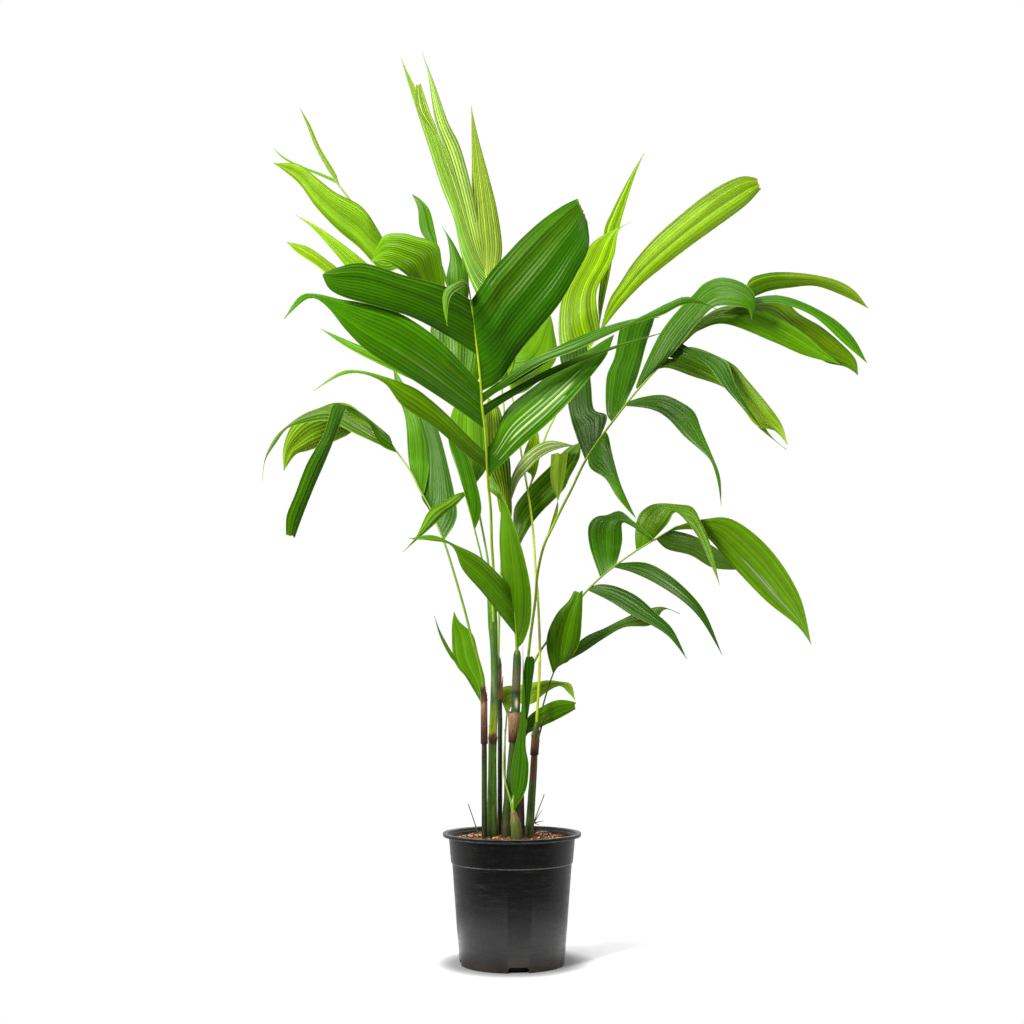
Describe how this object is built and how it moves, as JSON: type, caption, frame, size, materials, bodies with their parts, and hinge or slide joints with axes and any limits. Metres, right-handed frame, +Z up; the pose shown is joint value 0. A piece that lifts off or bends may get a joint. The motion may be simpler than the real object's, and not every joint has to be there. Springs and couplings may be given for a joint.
{
  "type": "potted palm",
  "caption": "Clump-forming indoor palm in a round tapered nursery pot, with thin cane stems and arching pinnate fronds of broad pleated leaflets.",
  "frame": {"origin": "middle of the pot's underside, on the surface that it stands on", "axes": "+Z up along the pot's axis, +X to the right and +Y away from the viewer of the picture"},
  "size_m": [1.1172, 0.782, 1.7066],
  "materials": {
    "pot": "satin charcoal, moulded",
    "soil": "loose bark and coco chips, matte",
    "stem": "smooth green cane with ring scars",
    "fibre": "dry brown fibre, matte",
    "leaf": "glossy pleated green",
    "leaf_bright": "glossy yellow-green"
  },
  "bodies": {
    "root": {"pot": "pot", "soil": "soil", "stem_left_slim": "stem", "stem_left_main": "stem", "stem_back_left": "stem", "stem_back_thin": "stem", "stem_centre": "stem", "stump_front": "stem", "stem_right": "stem", "stem_back_hidden": "stem", "stem_fibrous": "fibre", "sheath_left": "fibre", "collar_centre": "fibre", "sheath_right": "fibre", "twig_left": "fibre", "twig_right": "fibre", "frond_front": "leaf", "frond_young": "leaf", "frond_small_left": "leaf", "frond_upper_left": "leaf", "frond_back": "leaf", "frond_left": "leaf", "sucker_left": "leaf", "leaf_arching": "leaf", "leaf_low": "leaf", "frond_right": "leaf", "frond_lower_right": "leaf", "frond_small_right": "leaf", "frond_spear": "leaf_bright", "frond_bright": "leaf_bright", "sucker_front": "leaf_bright"}
  },
  "joints": []
}
